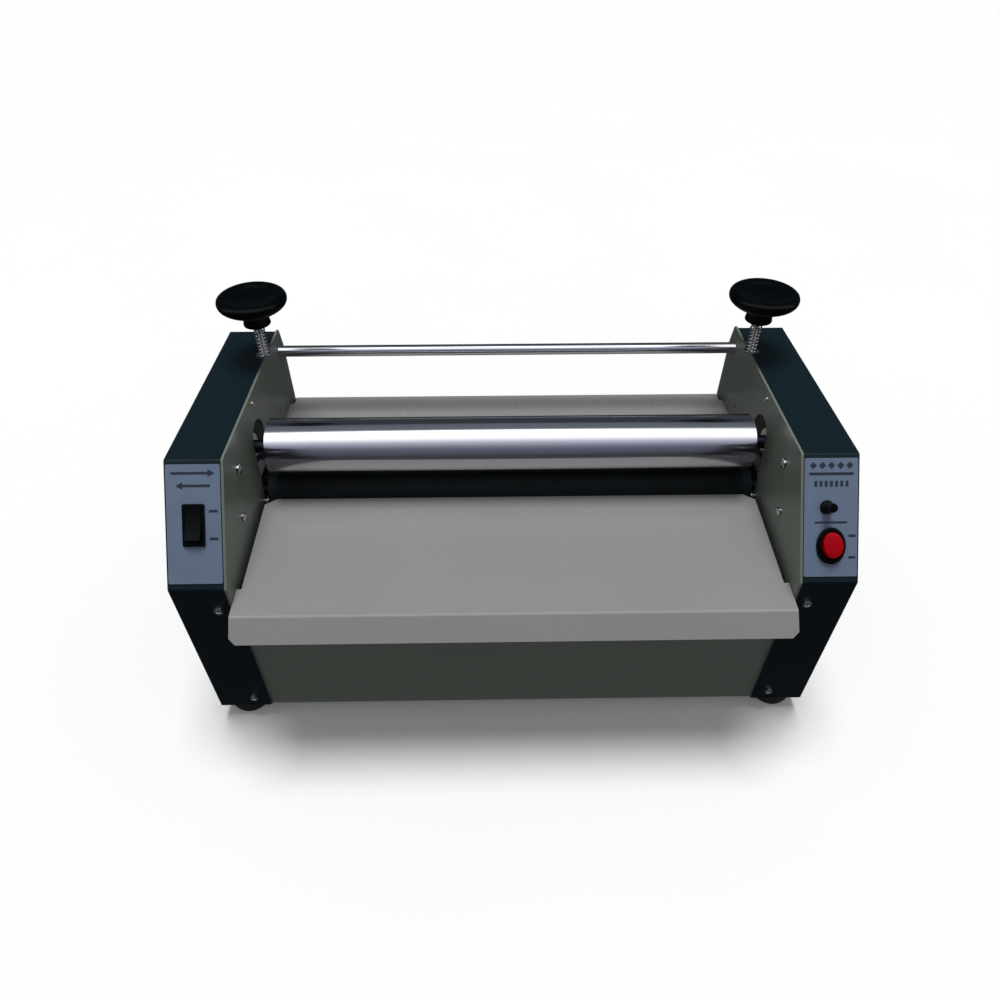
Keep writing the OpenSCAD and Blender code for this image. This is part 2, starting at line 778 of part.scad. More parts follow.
// Electrics on the base plate
module transformer() {
    color("#4a4038") placed() {
        box(-170, -104, 80, 130, sheet_t, 46);
        box(-160, -114, 72, 138, 8, 40);
    }
}

module control_board() {
    color("darkgreen") placed() {
        box(-70, 20, 80, 150, 8, 9.6);
        for (x = [-65, 15], y = [85, 145]) translate([x, y, sheet_t]) cylinder(h = 6.5, r = 3);
        for (x = [-50:20:10]) translate([x, 100, 9.6]) cylinder(h = 14, r = 6);
        box(-60, 10, 125, 130, 9.6, 28);
    }
}

module power_cord_gland() {
    color("#151515") placed() translate([gland_x, 0, gland_z]) rotate([-90, 0, 0]) difference() {
        union() {
            translate([0, 0, 254]) cylinder(h = 8, r = 7.9);
            translate([0, 0, 258 + sheet_t]) cylinder(h = 4.5, r = 11);
            translate([0, 0, 252]) cylinder(h = 6, r = 10);
        }
        translate([0, 0, 250]) cylinder(h = 20, r = 3.5);
    }
}

side_plate(-1);  // left_side_plate
side_plate(1);  // right_side_plate
cover(-1);  // left_cover
cover(1);  // right_cover
front_tray();
rear_tray();
front_apron();
rear_apron();
base_plate();
rear_tie_rod();
lower_tie_rods();
tray_spacers();
feet();
foot_screws();
plate_screws();
cover_screws();
left_label_plate();
right_label_plate();
left_label_marks();
right_label_marks();
lower_bearings();
lower_bearing_blocks();
lower_roller_core();
lower_roller_sleeve();
drive_gear();
motor_can();
gearbox();
motor_screws();
motor_output_shaft();
motor_pinion();
pressure_arm(-1);  // left_pressure_arm
pressure_arm(1);  // right_pressure_arm
upper_bearings();
arm_pivot_bolts();
upper_roller_tube();
upper_roller_shaft();
nut_block(-1);  // left_nut_block
nut_block(1);  // right_nut_block
thrust_pad(-1);  // left_thrust_pad
thrust_pad(1);  // right_thrust_pad
pressure_screw(-1);  // left_screw
pressure_screw(1);  // right_screw
knob(-1);  // left_knob
knob(1);  // right_knob
spring(-1);  // left_spring
spring(1);  // right_spring
reverse_switch_body();
reverse_rocker();
power_switch_body();
power_rocker();
speed_control_body();
speed_control_knob();
transformer();
control_board();
power_cord_gland();
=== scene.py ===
"""Looks of the cold roll laminator: materials, rounded skins, turned parts, light and camera.

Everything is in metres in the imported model's frame: X along the rollers, Y from the feed side
to the exit side, Z up from the surface that the feet stand on.
"""
import json
import math

import bmesh
import bpy
from mathutils import Matrix, Vector

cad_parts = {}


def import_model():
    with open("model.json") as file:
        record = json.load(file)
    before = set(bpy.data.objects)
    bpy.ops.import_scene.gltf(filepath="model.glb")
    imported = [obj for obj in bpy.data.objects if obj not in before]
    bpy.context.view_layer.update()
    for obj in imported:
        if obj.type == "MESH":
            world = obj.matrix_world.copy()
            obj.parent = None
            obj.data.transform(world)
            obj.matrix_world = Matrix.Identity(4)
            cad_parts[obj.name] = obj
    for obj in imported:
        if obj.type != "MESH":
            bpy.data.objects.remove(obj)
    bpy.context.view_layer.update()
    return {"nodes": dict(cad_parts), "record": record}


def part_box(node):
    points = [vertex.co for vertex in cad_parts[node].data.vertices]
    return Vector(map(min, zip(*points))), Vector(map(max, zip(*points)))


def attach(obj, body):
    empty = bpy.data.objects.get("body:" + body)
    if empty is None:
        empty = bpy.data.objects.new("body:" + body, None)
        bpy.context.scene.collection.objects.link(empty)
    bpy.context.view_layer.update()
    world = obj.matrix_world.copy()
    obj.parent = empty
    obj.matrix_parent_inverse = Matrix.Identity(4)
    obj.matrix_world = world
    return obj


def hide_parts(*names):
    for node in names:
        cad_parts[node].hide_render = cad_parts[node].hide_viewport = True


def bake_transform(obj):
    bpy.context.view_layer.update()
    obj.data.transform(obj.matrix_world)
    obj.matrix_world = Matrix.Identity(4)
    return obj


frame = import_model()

MM = 0.001
NODES = frame["nodes"]
BODY_OF = {n: b for b, members in frame["record"]["behaviour"]["bodies"].items() for n in members}
SLOT_OF = {s["node"]: s["material_slot"] for s in frame["record"]["subparts"]}


# ---------------------------------------------------------------- materials

class Shader:
    """A node material with the few building blocks that all of these materials share."""

    def __init__(self, name, color, roughness, metallic=0.0, **sockets):
        self.material = bpy.data.materials.new(name)
        self.material.use_nodes = True
        self.nodes = self.material.node_tree.nodes
        self.links = self.material.node_tree.links
        self.surface = self.nodes["Principled BSDF"]
        self.surface.inputs["Base Color"].default_value = (*color, 1)
        self.surface.inputs["Roughness"].default_value = roughness
        self.surface.inputs["Metallic"].default_value = metallic
        for socket, value in sockets.items():
            self.surface.inputs[socket.replace("_", " ")].default_value = value
        self.place = self.nodes.new("ShaderNodeTexCoord").outputs["Object"]

    def stretched(self, scale):
        """Object coordinates, multiplied per axis, for grain that runs one way."""
        mapping = self.nodes.new("ShaderNodeMapping")
        mapping.inputs["Scale"].default_value = scale
        self.links.new(self.place, mapping.inputs["Vector"])
        return mapping.outputs["Vector"]

    def noise(self, scale, detail=3.0, place=None):
        node = self.nodes.new("ShaderNodeTexNoise")
        node.inputs["Scale"].default_value = scale
        node.inputs["Detail"].default_value = detail
        self.links.new(place or self.place, node.inputs["Vector"])
        return node.outputs["Fac"]

    def spread(self, value, low, high, start=0.3, stop=0.7):
        """Maps a noise value onto the range from low to high."""
        node = self.nodes.new("ShaderNodeMapRange")
        node.inputs["From Min"].default_value = start
        node.inputs["From Max"].default_value = stop
        node.inputs["To Min"].default_value = low
        node.inputs["To Max"].default_value = high
        self.links.new(value, node.inputs["Value"])
        return node.outputs["Result"]

    def color_between(self, factor, dark, light):
        node = self.nodes.new("ShaderNodeMix")
        node.data_type = "RGBA"
        node.inputs["A"].default_value = (*dark, 1)
        node.inputs["B"].default_value = (*light, 1)
        self.links.new(factor, node.inputs["Factor"])
        self.links.new(node.outputs["Result"], self.surface.inputs["Base Color"])
        return node.outputs["Result"]

    def rough(self, value):
        self.links.new(value, self.surface.inputs["Roughness"])

    def bump(self, height, distance, strength=1.0):
        node = self.nodes.new("ShaderNodeBump")
        node.inputs["Distance"].default_value = distance
        node.inputs["Strength"].default_value = strength
        self.links.new(height, node.inputs["Height"])
        self.links.new(node.outputs["Normal"], self.surface.inputs["Normal"])


def tint(color, factor):
    return tuple(min(1.0, c * factor) for c in color)


def painted(name, color, roughness, coat=0.0, peel=0.00006, specular=0.5):
    """Powder paint: orange peel, slight unevenness of colour and gloss."""
    s = Shader(name, color, roughness, Coat_Weight=coat, Coat_Roughness=0.14, Specular_IOR_Level=specular)
    s.color_between(s.spread(s.noise(9, 3), 0, 1), tint(color, 0.975), tint(color, 1.02))
    s.rough(s.spread(s.noise(45, 3), roughness - 0.02, roughness + 0.03))
    s.bump(s.noise(1100, 2), peel, 0.35)
    return s.material


def bright_metal(name, color, roughness, grain=(1, 1, 1), depth=0.00001):
    """Bare or plated metal, with fine grain along the axis where grain is small."""
    s = Shader(name, color, roughness, metallic=1.0)
    fine = s.noise(500, 4, s.stretched(grain))
    s.rough(s.spread(fine, roughness * 0.85, roughness * 1.2))
    s.color_between(s.spread(s.noise(25, 3), 0, 1), tint(color, 0.96), tint(color, 1.03))
    s.bump(fine, depth, 0.25)
    return s.material


def turned_chrome(name, color, roughness):
    """Ground and plated rollers: marks run round the axis, so reflections blur along it."""
    s = Shader(name, color, roughness, metallic=1.0, Anisotropic=0.95, Anisotropic_Rotation=0.25)
    tangent = s.nodes.new("ShaderNodeTangent")
    tangent.direction_type = "RADIAL"
    tangent.axis = "X"
    s.links.new(tangent.outputs["Tangent"], s.surface.inputs["Tangent"])
    marks = s.noise(900, 3, s.stretched((1, 0.02, 0.02)))
    s.color_between(s.spread(marks, 0, 1), tint(color, 0.97), tint(color, 1.02))
    s.bump(marks, 0.000004, 0.2)
    return s.material


def moulded(name, color, roughness, texture=1400, depth=0.00003, coat=0.0, specular=0.5):
    """Moulded plastic or rubber, with a fine skin and a little variation."""
    s = Shader(name, color, roughness, Coat_Weight=coat, Coat_Roughness=0.1, Specular_IOR_Level=specular)
    s.color_between(s.spread(s.noise(40, 3), 0, 1), tint(color, 0.85), tint(color, 1.15))
    s.rough(s.spread(s.noise(90, 4), roughness - 0.04, roughness + 0.06))
    s.bump(s.noise(texture, 3), depth, 0.4)
    return s.material


def printed_label(name, color):
    """Printed film on a plate: faint mottling and a soft gloss."""
    s = Shader(name, color, 0.42, Coat_Weight=0.15, Coat_Roughness=0.25)
    s.color_between(s.spread(s.noise(70, 4), 0, 1), tint(color, 0.95), tint(color, 1.05))
    s.bump(s.noise(1800, 2), 0.00002, 0.3)
    return s.material


MATERIALS = {
    "beige_paint": painted("beige_paint", (0.283, 0.287, 0.278), 0.25, peel=0.00003, specular=0.5),
    # plate_paint: the side plates' own greenish grey, kept darker than beige_paint as painted shade on
    # these upright plates
    "plate_paint": painted("plate_paint", (0.17, 0.193, 0.163), 0.34, coat=0.1, specular=0.3),
    "navy_paint": painted("navy_paint", (0.0048, 0.0128, 0.0175), 0.42, specular=0.2),
    "black_paint": painted("black_paint", (0.007, 0.007, 0.008), 0.5, specular=0.2),
    "motor_paint": painted("motor_paint", (0.03, 0.03, 0.034), 0.5),
    "chrome": turned_chrome("chrome", (0.68, 0.685, 0.7), 0.17),
    "plated_steel": bright_metal("plated_steel", (0.3, 0.3, 0.29), 0.4),
    "screw_steel": bright_metal("screw_steel", (0.62, 0.61, 0.59), 0.2),
    # dark_steel: near black, as painted shade on the steel journals and spacers that sit in the dark gaps
    # beside the side plates
    "dark_steel": bright_metal("dark_steel", (0.024, 0.025, 0.028), 0.42),
    "spring_steel": bright_metal("spring_steel", (0.34, 0.34, 0.35), 0.24),
    # cast_aluminium: far darker than bare aluminium, as painted shade on the bearing blocks and bearings
    # down in the plate slots
    "cast_aluminium": bright_metal("cast_aluminium", (0.09, 0.09, 0.095), 0.6, depth=0.00008),
    "gear_brass": bright_metal("gear_brass", (0.62, 0.44, 0.18), 0.3),
    "rubber": moulded("rubber", (0.012, 0.012, 0.012), 0.75),
    "roller_rubber": moulded("roller_rubber", (0.0085, 0.012, 0.0135), 0.55, texture=2200, specular=0.1),
    "black_plastic": moulded("black_plastic", (0.0008, 0.0016, 0.0018), 0.3, coat=0.02, specular=0.07),
    "red_plastic": moulded("red_plastic", (0.36, 0.001, 0.006), 0.3, coat=0.02, specular=0.07),
    "gear_plastic": moulded("gear_plastic", (0.6, 0.57, 0.48), 0.5),
    "board_green": moulded("board_green", (0.01, 0.07, 0.025), 0.4),
    "label_print": printed_label("label_print", (0.148, 0.198, 0.292)),
    "label_ink": moulded("label_ink", (0.012, 0.018, 0.035), 0.45),
}


def set_material(piece, slot):
    piece.data.materials.clear()
    piece.data.materials.append(MATERIALS[slot])


def dress(node):
    """Gives a CAD node the node material of its slot."""
    for slot in NODES[node].material_slots:
        slot.material = MATERIALS[SLOT_OF[node]]


# ---------------------------------------------------------------- pieces

def new_piece(name, mesh):
    piece = bpy.data.objects.new(name, mesh)
    bpy.context.scene.collection.objects.link(piece)
    return piece


def stand_for(piece, node):
    """The piece is shown instead of a CAD node and takes its finish."""
    set_material(piece, SLOT_OF[node])
    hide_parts(node)


def finish_piece(piece, node):
    """The piece stands for a CAD node: same body, same slot."""
    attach(piece, BODY_OF[node])
    stand_for(piece, node)
    return piece


def islands(node):
    """(lowest corner, highest corner) of each separate solid in a CAD node."""
    bm = bmesh.new()
    bm.from_mesh(NODES[node].data)
    bmesh.ops.remove_doubles(bm, verts=bm.verts, dist=2e-6)
    bm.verts.ensure_lookup_table()
    seen = set()
    boxes = []
    for seed in bm.verts:
        if seed.index in seen:
            continue
        seen.add(seed.index)
        stack = [seed]
        low, high = seed.co.copy(), seed.co.copy()
        while stack:
            vert = stack.pop()
            for axis in range(3):
                low[axis] = min(low[axis], vert.co[axis])
                high[axis] = max(high[axis], vert.co[axis])
            for edge in vert.link_edges:
                other = edge.other_vert(vert)
                if other.index not in seen:
                    seen.add(other.index)
                    stack.append(other)
        boxes.append((low, high))
    bm.free()
    return boxes


def rounded_skin(node, width, segments=3, fold=0.0):
    """The CAD node's own shape with every sharp edge rounded, and its long 45 degree folds by more."""
    mesh = NODES[node].data.copy()
    bm = bmesh.new()
    bm.from_mesh(mesh)
    bmesh.ops.remove_doubles(bm, verts=bm.verts, dist=2e-6)
    bmesh.ops.dissolve_limit(bm, angle_limit=math.radians(0.5), verts=bm.verts, edges=bm.edges)
    if fold:
        folds = [e for e in bm.edges if e.calc_length() > 0.3 and e.is_manifold
                 and math.radians(30) < e.calc_face_angle() < math.radians(60)]
        bmesh.ops.bevel(bm, geom=folds, offset=fold, segments=5, profile=0.5, affect="EDGES")
    bm.to_mesh(mesh)
    bm.free()
    mesh.shade_smooth()
    piece = new_piece(node + "_skin", mesh)
    bevel = piece.modifiers.new("edges", "BEVEL")
    bevel.width = width
    bevel.segments = segments
    bevel.limit_method = "ANGLE"
    bevel.angle_limit = math.radians(32)
    normals = piece.modifiers.new("normals", "WEIGHTED_NORMAL")
    normals.weight = 100
    return finish_piece(piece, node)


def upright(origin, direction):
    """A local frame at origin whose Z axis points along direction."""
    turn = Vector(direction).to_track_quat("Z", "Y").to_matrix().to_4x4()
    return Matrix.Translation(Vector(origin)) @ turn


def smoothed(corners, steps):
    """A Catmull-Rom curve through (radius, height) corners."""
    ends = [corners[0]] + list(corners) + [corners[-1]]
    points = []
    for a, b, c, d in zip(ends, ends[1:], ends[2:], ends[3:]):
        for k in range(steps):
            t = k / steps
            points.append(tuple(
                0.5 * (2 * q + (r - p) * t + (2 * p - 5 * q + 4 * r - s) * t * t
                       + (3 * q - p - 3 * r + s) * t ** 3)
                for p, q, r, s in zip(a, b, c, d)))
    return points + [tuple(corners[-1])]


class Shape:
    """Collects the vertices and faces of turned, swept and domed forms."""

    def __init__(self):
        self.verts = []
        self.faces = []

    def ring(self, points):
        start = len(self.verts)
        self.verts.extend(points)
        return list(range(start, start + len(points)))

    def join(self, a, b):
        count = max(len(a), len(b))
        for i in range(count):
            j = (i + 1) % count
            if len(a) == 1:
                self.faces.append((a[0], b[i], b[j]))
            elif len(b) == 1:
                self.faces.append((a[i], b[0], a[j]))
            else:
                self.faces.append((a[i], b[i], b[j], a[j]))

    def revolve(self, outline, place, segments=96):
        """Turns (radius, height) points about the local Z axis. A zero radius closes an end."""
        rings = []
        for radius, height in outline:
            count = 1 if radius < 1e-9 else segments
            rings.append(self.ring([
                place @ Vector((radius * math.cos(a), radius * math.sin(a), height))
                for a in (2 * math.pi * k / segments for k in range(count))]))
        for a, b in zip(rings, rings[1:]):
            self.join(a, b)

    def bar(self, radius, start, end, segments=64, edge=0.3 * MM):
        """A closed round bar with softened ends."""
        axis = Vector(end) - Vector(start)
        length = axis.length
        self.revolve([(0, 0), (radius - edge, 0), (radius - 0.3 * edge, 0.3 * edge), (radius, edge),
                      (radius, length - edge), (radius - 0.3 * edge, length - 0.3 * edge),
                      (radius - edge, length), (0, length)], upright(start, axis), segments)

    def sweep(self, points, radius, sides=12):
        """A round wire along a smooth path, with domed ends."""
        rings = []
        for i, point in enumerate(points):
            before = points[max(i - 1, 0)]
            after = points[min(i + 1, len(points) - 1)]
            frame_here = upright(point, after - before)
            rings.append(self.ring([
                frame_here @ Vector((radius * math.cos(a), radius * math.sin(a), 0))
                for a in (2 * math.pi * k / sides for k in range(sides))]))
        for a, b in zip(rings, rings[1:]):
            self.join(a, b)
        for tip, neighbour, end in ((points[0], points[1], rings[0]), (points[-1], points[-2], rings[-1])):
            outward = (tip - neighbour).normalized()
            self.join(end, self.ring([tip + outward * radius * 0.6]))

    def cross_head(self, place, radius, height, steps=14, segments=72):
        """A domed pan head with a cross recess, on the plane through the frame's origin."""
        arm, half = 0.58 * radius, 0.12 * radius
        rings = [self.ring([place @ Vector((0, 0, 0.42 * height))])]
        for k in range(1, steps + 1):
            share = k / steps
            crown = height * (0.62 + 0.38 * math.sqrt(max(0.0, 1 - (0.97 * share) ** 2)))
            points = []
            for j in range(segments):
                a = 2 * math.pi * j / segments
                x, y = share * radius * math.cos(a), share * radius * math.sin(a)
                along, across = max(abs(x), abs(y)), min(abs(x), abs(y))
                wall = min(1.0, max(0.0, (half - across) / (0.5 * half)))
                reach = min(1.0, max(0.0, (arm - along) / (0.5 * arm)))
                points.append(place @ Vector((x, y, crown - 0.42 * height * wall * reach)))
            rings.append(self.ring(points))
        for share, level in ((1.0, 0.45), (0.99, 0.06), (0.96, 0.0)):
            rings.append(self.ring([
                place @ Vector((share * radius * math.cos(a), share * radius * math.sin(a), level * height))
                for a in (2 * math.pi * j / segments for j in range(segments))]))
        rings.append(self.ring([place @ Vector((0, 0, 0))]))
        for a, b in zip(rings, rings[1:]):
            self.join(a, b)

    def mesh(self, name, sharp=38):
        mesh = bpy.data.meshes.new(name)
        mesh.from_pydata([tuple(v) for v in self.verts], [], self.faces)
        bm = bmesh.new()
        bm.from_mesh(mesh)
        bmesh.ops.recalc_face_normals(bm, faces=bm.faces)
        bm.to_mesh(mesh)
        bm.free()
        mesh.shade_smooth()
        mesh.set_sharp_from_angle(angle=math.radians(sharp))
        return mesh

    def piece(self, node, sharp=38):
        return finish_piece(new_piece(node + "_form", self.mesh(node + "_form", sharp)), node)


def middle(node):
    low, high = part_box(node)
    return (low + high) / 2


# ---------------------------------------------------------------- rollers, rods and feet

X_AXIS = Vector((1, 0, 0))
UP = Vector((0, 0, 1))
TUBE_WALL = 4 * MM
SLEEVE_WALL = 5 * MM
JOURNAL_R = 6 * MM
SHAFT_SETBACK = 1 * MM
TIE_ROD_END_R = 2.8 * MM
PLATE_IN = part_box("right_side_plate")[0].x
PLATE_OUT = PLATE_IN + 2 * MM


def roller_shell(node, wall):
    """A ground tube with softened ends."""
    low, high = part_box(node)
    radius = (high.z - low.z) / 2
    half = (high.x - low.x) / 2
    edge = 0.6 * MM
    inner = radius - wall
    outline = [(inner, -half), (radius - edge, -half), (radius - 0.3 * edge, -half + 0.3 * edge),
               (radius, -half + edge), (radius, half - edge), (radius - 0.3 * edge, half - 0.3 * edge),
               (radius - edge, half), (inner, half), (inner, -half)]
    shape = Shape()
    shape.revolve(outline, upright(middle(node), X_AXIS), 160)
    shape.piece(node)


def journalled(node, journal, wall_radius, wall_half, edge=0.5 * MM):
    """A roller's core or shaft: a wide middle between two journals."""
    low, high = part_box(node)
    centre = middle(node)
    reach = [(low.x - centre.x), (high.x - centre.x)]
    shape = Shape()
    shape.revolve([
        (0, reach[0]), (journal - edge, reach[0]), (journal, reach[0] + edge),
        (journal, -wall_half - centre.x), (wall_radius - edge, -wall_half - centre.x),
        (wall_radius, -wall_half + edge - centre.x), (wall_radius, wall_half - edge - centre.x),
        (wall_radius - edge, wall_half - centre.x), (journal, wall_half - centre.x),
        (journal, reach[1] - edge), (journal - edge, reach[1]), (0, reach[1])],
        upright(centre, X_AXIS), 96)
    shape.piece(node)


def rear_tie_rod():
    """The rod across the back, with the thinner ends that pass through the side plates."""
    low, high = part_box("rear_tie_rod")
    centre = middle("rear_tie_rod")
    shape = Shape()
    shape.bar((high.z - low.z) / 2, (-PLATE_IN, centre.y, centre.z), (PLATE_IN, centre.y, centre.z), 64)
    for side in (-1, 1):
        start = (side * (PLATE_IN - 1 * MM), centre.y, centre.z)
        shape.bar(TIE_ROD_END_R, start, (side * high.x, centre.y, centre.z), 32)
    shape.piece("rear_tie_rod")


def lower_tie_rods():
    """The two plain rods that hold the side plates together below the rollers."""
    shape = Shape()
    for low, high in islands("lower_tie_rods"):
        y, z = (low.y + high.y) / 2, (low.z + high.z) / 2
        shape.bar((high.z - low.z) / 2, (low.x, y, z), (high.x, y, z), 48)
    shape.piece("lower_tie_rods")


def feet():
    """Rubber feet: widest near the floor, with a shallow hollow in the sole."""
    shape = Shape()
    for low, high in islands("feet"):
        x, y = (low.x + high.x) / 2, (low.y + high.y) / 2
        radius, height = (high.x - low.x) / 2, high.z - low.z
        shape.revolve([
            (0, 1.2 * MM), (5.5 * MM, 1.2 * MM), (6 * MM, 0.4 * MM), (6.6 * MM, 0), (radius - 2.6 * MM, 0),
            (radius - 1.7 * MM, 0.3 * MM), (radius - 1.1 * MM, 1.1 * MM), (radius, 4 * MM),
            (radius - 0.9 * MM, height - 1.2 * MM), (radius - 1.3 * MM, height - 0.3 * MM),
            (radius - 2 * MM, height), (0, height)], upright((x, y, low.z), UP), 72)
    shape.piece("feet", 50)


ROLLER_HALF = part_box("upper_roller_tube")[1].x
SLEEVE_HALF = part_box("lower_roller_sleeve")[1].x
ROLLER_R = (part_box("upper_roller_tube")[1].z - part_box("upper_roller_tube")[0].z) / 2

roller_shell("upper_roller_tube", TUBE_WALL)
roller_shell("lower_roller_sleeve", SLEEVE_WALL)
journalled("upper_roller_shaft", JOURNAL_R, ROLLER_R - TUBE_WALL, ROLLER_HALF - SHAFT_SETBACK)
journalled("lower_roller_core", JOURNAL_R, ROLLER_R - SLEEVE_WALL, SLEEVE_HALF)
rear_tie_rod()
lower_tie_rods()
feet()


# ---------------------------------------------------------------- screws

def headed(shape, low, high, axis, outward, head_r, head_h, shank_r):
    """One screw in the box of its CAD solid; outward is +1 or -1 along axis, on the head's side."""
    centre = (low + high) / 2
    tip, seat = centre.copy(), centre.copy()
    seat[axis] = high[axis] - head_h if outward > 0 else low[axis] + head_h
    tip[axis] = low[axis] if outward > 0 else high[axis]
    direction = Vector((0, 0, 0))
    direction[axis] = outward
    shape.cross_head(upright(seat, direction), head_r, head_h)
    if (tip - seat).length > 0.3 * MM:
        shape.bar(shank_r, seat + direction * 0.05 * MM, tip, 24, 0.15 * MM)


def plate_screws():
    """Screws on the side plates. Those that reach far past a plate have their heads out there."""
    shape = Shape()
    for low, high in islands("plate_screws"):
        inside = 1 if low.x + high.x < 0 else -1
        buried = max(abs(low.x), abs(high.x)) > PLATE_OUT + 4 * MM
        radius = (high.y - low.y) / 2
        headed(shape, low, high, 0, -inside if buried else inside, radius, radius * 0.64, radius * 0.55)
    shape.piece("plate_screws")


def equal_screws(node, axis, outward, head_h, shank_r):
    """Screws that all point the same way along one axis."""
    shape = Shape()
    across = 1 if axis == 0 else 0
    for low, high in islands(node):
        headed(shape, low, high, axis, outward, (high[across] - low[across]) / 2, head_h, shank_r)
    shape.piece(node)


def arm_pivot_bolts():
    """The bolts that the pressure arms hinge on: head on the plate's inner face, hexagon nut outside."""
    bolt_r, head_h = 3.98 * MM, 2.6 * MM
    nut_r, face_r, nut_t, nut_inset = 7 * MM, 6.3 * MM, 4 * MM, 4.5 * MM
    nut = [(0, 0), (face_r, 0), (nut_r, 0.5 * MM), (nut_r, 3.5 * MM), (face_r, nut_t), (0, nut_t)]
    shape = Shape()
    for low, high in islands("arm_pivot_bolts"):
        side = 1 if low.x > 0 else -1
        y, z = (low.y + high.y) / 2, (low.z + high.z) / 2
        shape.cross_head(upright((side * PLATE_IN, y, z), (-side, 0, 0)), 4 * MM, head_h)
        end = side * max(abs(low.x), abs(high.x))
        shape.bar(bolt_r, (side * PLATE_IN, y, z), (end, y, z), 48)
        shape.revolve(nut, upright((end - side * nut_inset, y, z), (side, 0, 0)), 6)
    shape.piece("arm_pivot_bolts", 25)


plate_screws()
equal_screws("cover_screws", 1, -1, 2.4 * MM, 1.5 * MM)
equal_screws("motor_screws", 0, 1, 2.4 * MM, 1.9 * MM)
equal_screws("foot_screws", 2, 1, 2.6 * MM, 1.9 * MM)
arm_pivot_bolts()


# ---------------------------------------------------------------- pressure screws

PITCH = 1 * MM
THREAD_DEPTH = 0.52 * MM
THREAD_LENGTH = 62 * MM
PLAIN_LENGTH = 8 * MM
TIP_R = 1.5 * MM
KNOB_R, KNOB_H = 30.0, 27.7
WIRE_R = 0.75 * MM
SPRING_TURNS = 10
CLOSED_TURNS = 0.75
CLOSED_LEAD = 1.05


def threaded_screw(node):
    """The pressure screw: a turned tip, and a 1 mm thread from the nut up into the knob."""
    low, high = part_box(node)
    axis_x, axis_y = (low.x + high.x) / 2, (low.y + high.y) / 2
    radius = (high.x - low.x) / 2
    thread_from = high.z - THREAD_LENGTH
    plain_from = thread_from - PLAIN_LENGTH
    shape = Shape()
    shape.revolve([(0, low.z), (1.2 * MM, low.z), (TIP_R, low.z + 0.3 * MM), (TIP_R, plain_from),
                   (radius, plain_from), (radius, thread_from), (radius * 0.8, thread_from + 0.2 * MM)],
                  upright((axis_x, axis_y, 0), UP), 36)
    around, per_turn = 36, 8
    rows = int((high.z - thread_from) / PITCH * per_turn)
    rings = []
    for row in range(rows + 1):
        height = thread_from + row * PITCH / per_turn
        points = []
        for k in range(around):
            a = 2 * math.pi * k / around
            phase = (height / PITCH - k / around) % 1.0
            r = radius - THREAD_DEPTH * abs(2 * phase - 1)
            points.append(Vector((axis_x + r * math.cos(a), axis_y + r * math.sin(a), height)))
        rings.append(shape.ring(points))
    for a, b in zip(rings, rings[1:]):
        shape.join(a, b)
    shape.join(rings[-1], shape.ring([Vector((axis_x, axis_y, high.z))]))
    shape.piece(node, 60)


def turned_knob(node):
    """A mushroom knob: waisted neck, flared underside, round rim and a dished top.

    Its outline is written in mm, KNOB_R wide by KNOB_H high, and scaled to the CAD box.
    """
    low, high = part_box(node)
    radius, height = (high.x - low.x) / 2, high.z - low.z
    r, h = radius / KNOB_R, height / KNOB_H
    flare = smoothed([(11.9 * r, 1.2 * h), (11.4 * r, 3.6 * h), (11.5 * r, 7.4 * h), (12.8 * r, 10.2 * h),
                      (16 * r, 12 * h), (20.8 * r, 13.9 * h), (25.4 * r, 16.3 * h), (28.8 * r, 19.2 * h),
                      (KNOB_R * r, 22.4 * h), (29.3 * r, 25.4 * h), (27 * r, 27.2 * h),
                      (24.2 * r, KNOB_H * h), (21.2 * r, 27.1 * h), (16.5 * r, 25.1 * h),
                      (10 * r, 23.9 * h), (5 * r, 23.6 * h)], 6)
    shape = Shape()
    shape.revolve([(0, 0), (11 * r, 0), (11.7 * r, 0.35 * h)] + flare + [(0, 23.5 * h)],
                  upright(((low.x + high.x) / 2, (low.y + high.y) / 2, low.z), UP), 128)
    shape.piece(node, 60)


def coil_spring(node):
    """A compression spring with closed ends, stretched between the housing and the rising screw."""
    low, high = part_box(node)
    wire = WIRE_R
    radius = (high.x - low.x) / 2 - wire
    axis = Vector(((low.x + high.x) / 2, (low.y + high.y) / 2, 0))
    turns, steps = SPRING_TURNS, 28
    closed = CLOSED_TURNS
    open_turns = turns - 2 * closed
    span = high.z - low.z - 2 * wire - 2 * closed * wire * CLOSED_LEAD
    points = []
    for k in range(int(turns * steps) + 1):
        turn = k / steps
        share = min(max((turn - closed) / open_turns, 0), 1)
        lead = wire * CLOSED_LEAD * (min(turn, closed) + max(turn - turns + closed, 0))
        a = 2 * math.pi * turn
        height = low.z + wire + lead + span * share
        points.append(axis + Vector((radius * math.cos(a), radius * math.sin(a), height)))
    shape = Shape()
    shape.sweep(points, wire)
    piece = new_piece(node + "_form", shape.mesh(node + "_form", 60))
    stand_for(piece, node)
    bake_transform(piece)


for side in ("left", "right"):
    threaded_screw(side + "_screw")
    turned_knob(side + "_knob")
    coil_spring(side + "_spring")


# ---------------------------------------------------------------- folded, cast and moulded parts

SKINS = {
    "left_side_plate": 0.3 * MM, "right_side_plate": 0.3 * MM,
    "left_cover": 0.6 * MM, "right_cover": 0.6 * MM,
    "front_tray": 0.35 * MM, "rear_tray": 0.35 * MM,
    "front_apron": 0.3 * MM, "rear_apron": 0.3 * MM, "base_plate": 0.2 * MM,
    "left_label_plate": 0.2 * MM, "right_label_plate": 0.2 * MM,
    "reverse_switch_body": 0.35 * MM, "reverse_rocker": 0.5 * MM,
    "power_switch_body": 0.4 * MM, "power_rocker": 0.8 * MM,
    "speed_control_body": 0.15 * MM, "speed_control_knob": 0.25 * MM,
    "left_pressure_arm": 0.3 * MM, "right_pressure_arm": 0.3 * MM,
    "power_cord_gland": 0.4 * MM, "transformer": 0.5 * MM,
}

TRAY_FOLD = 1.5 * MM

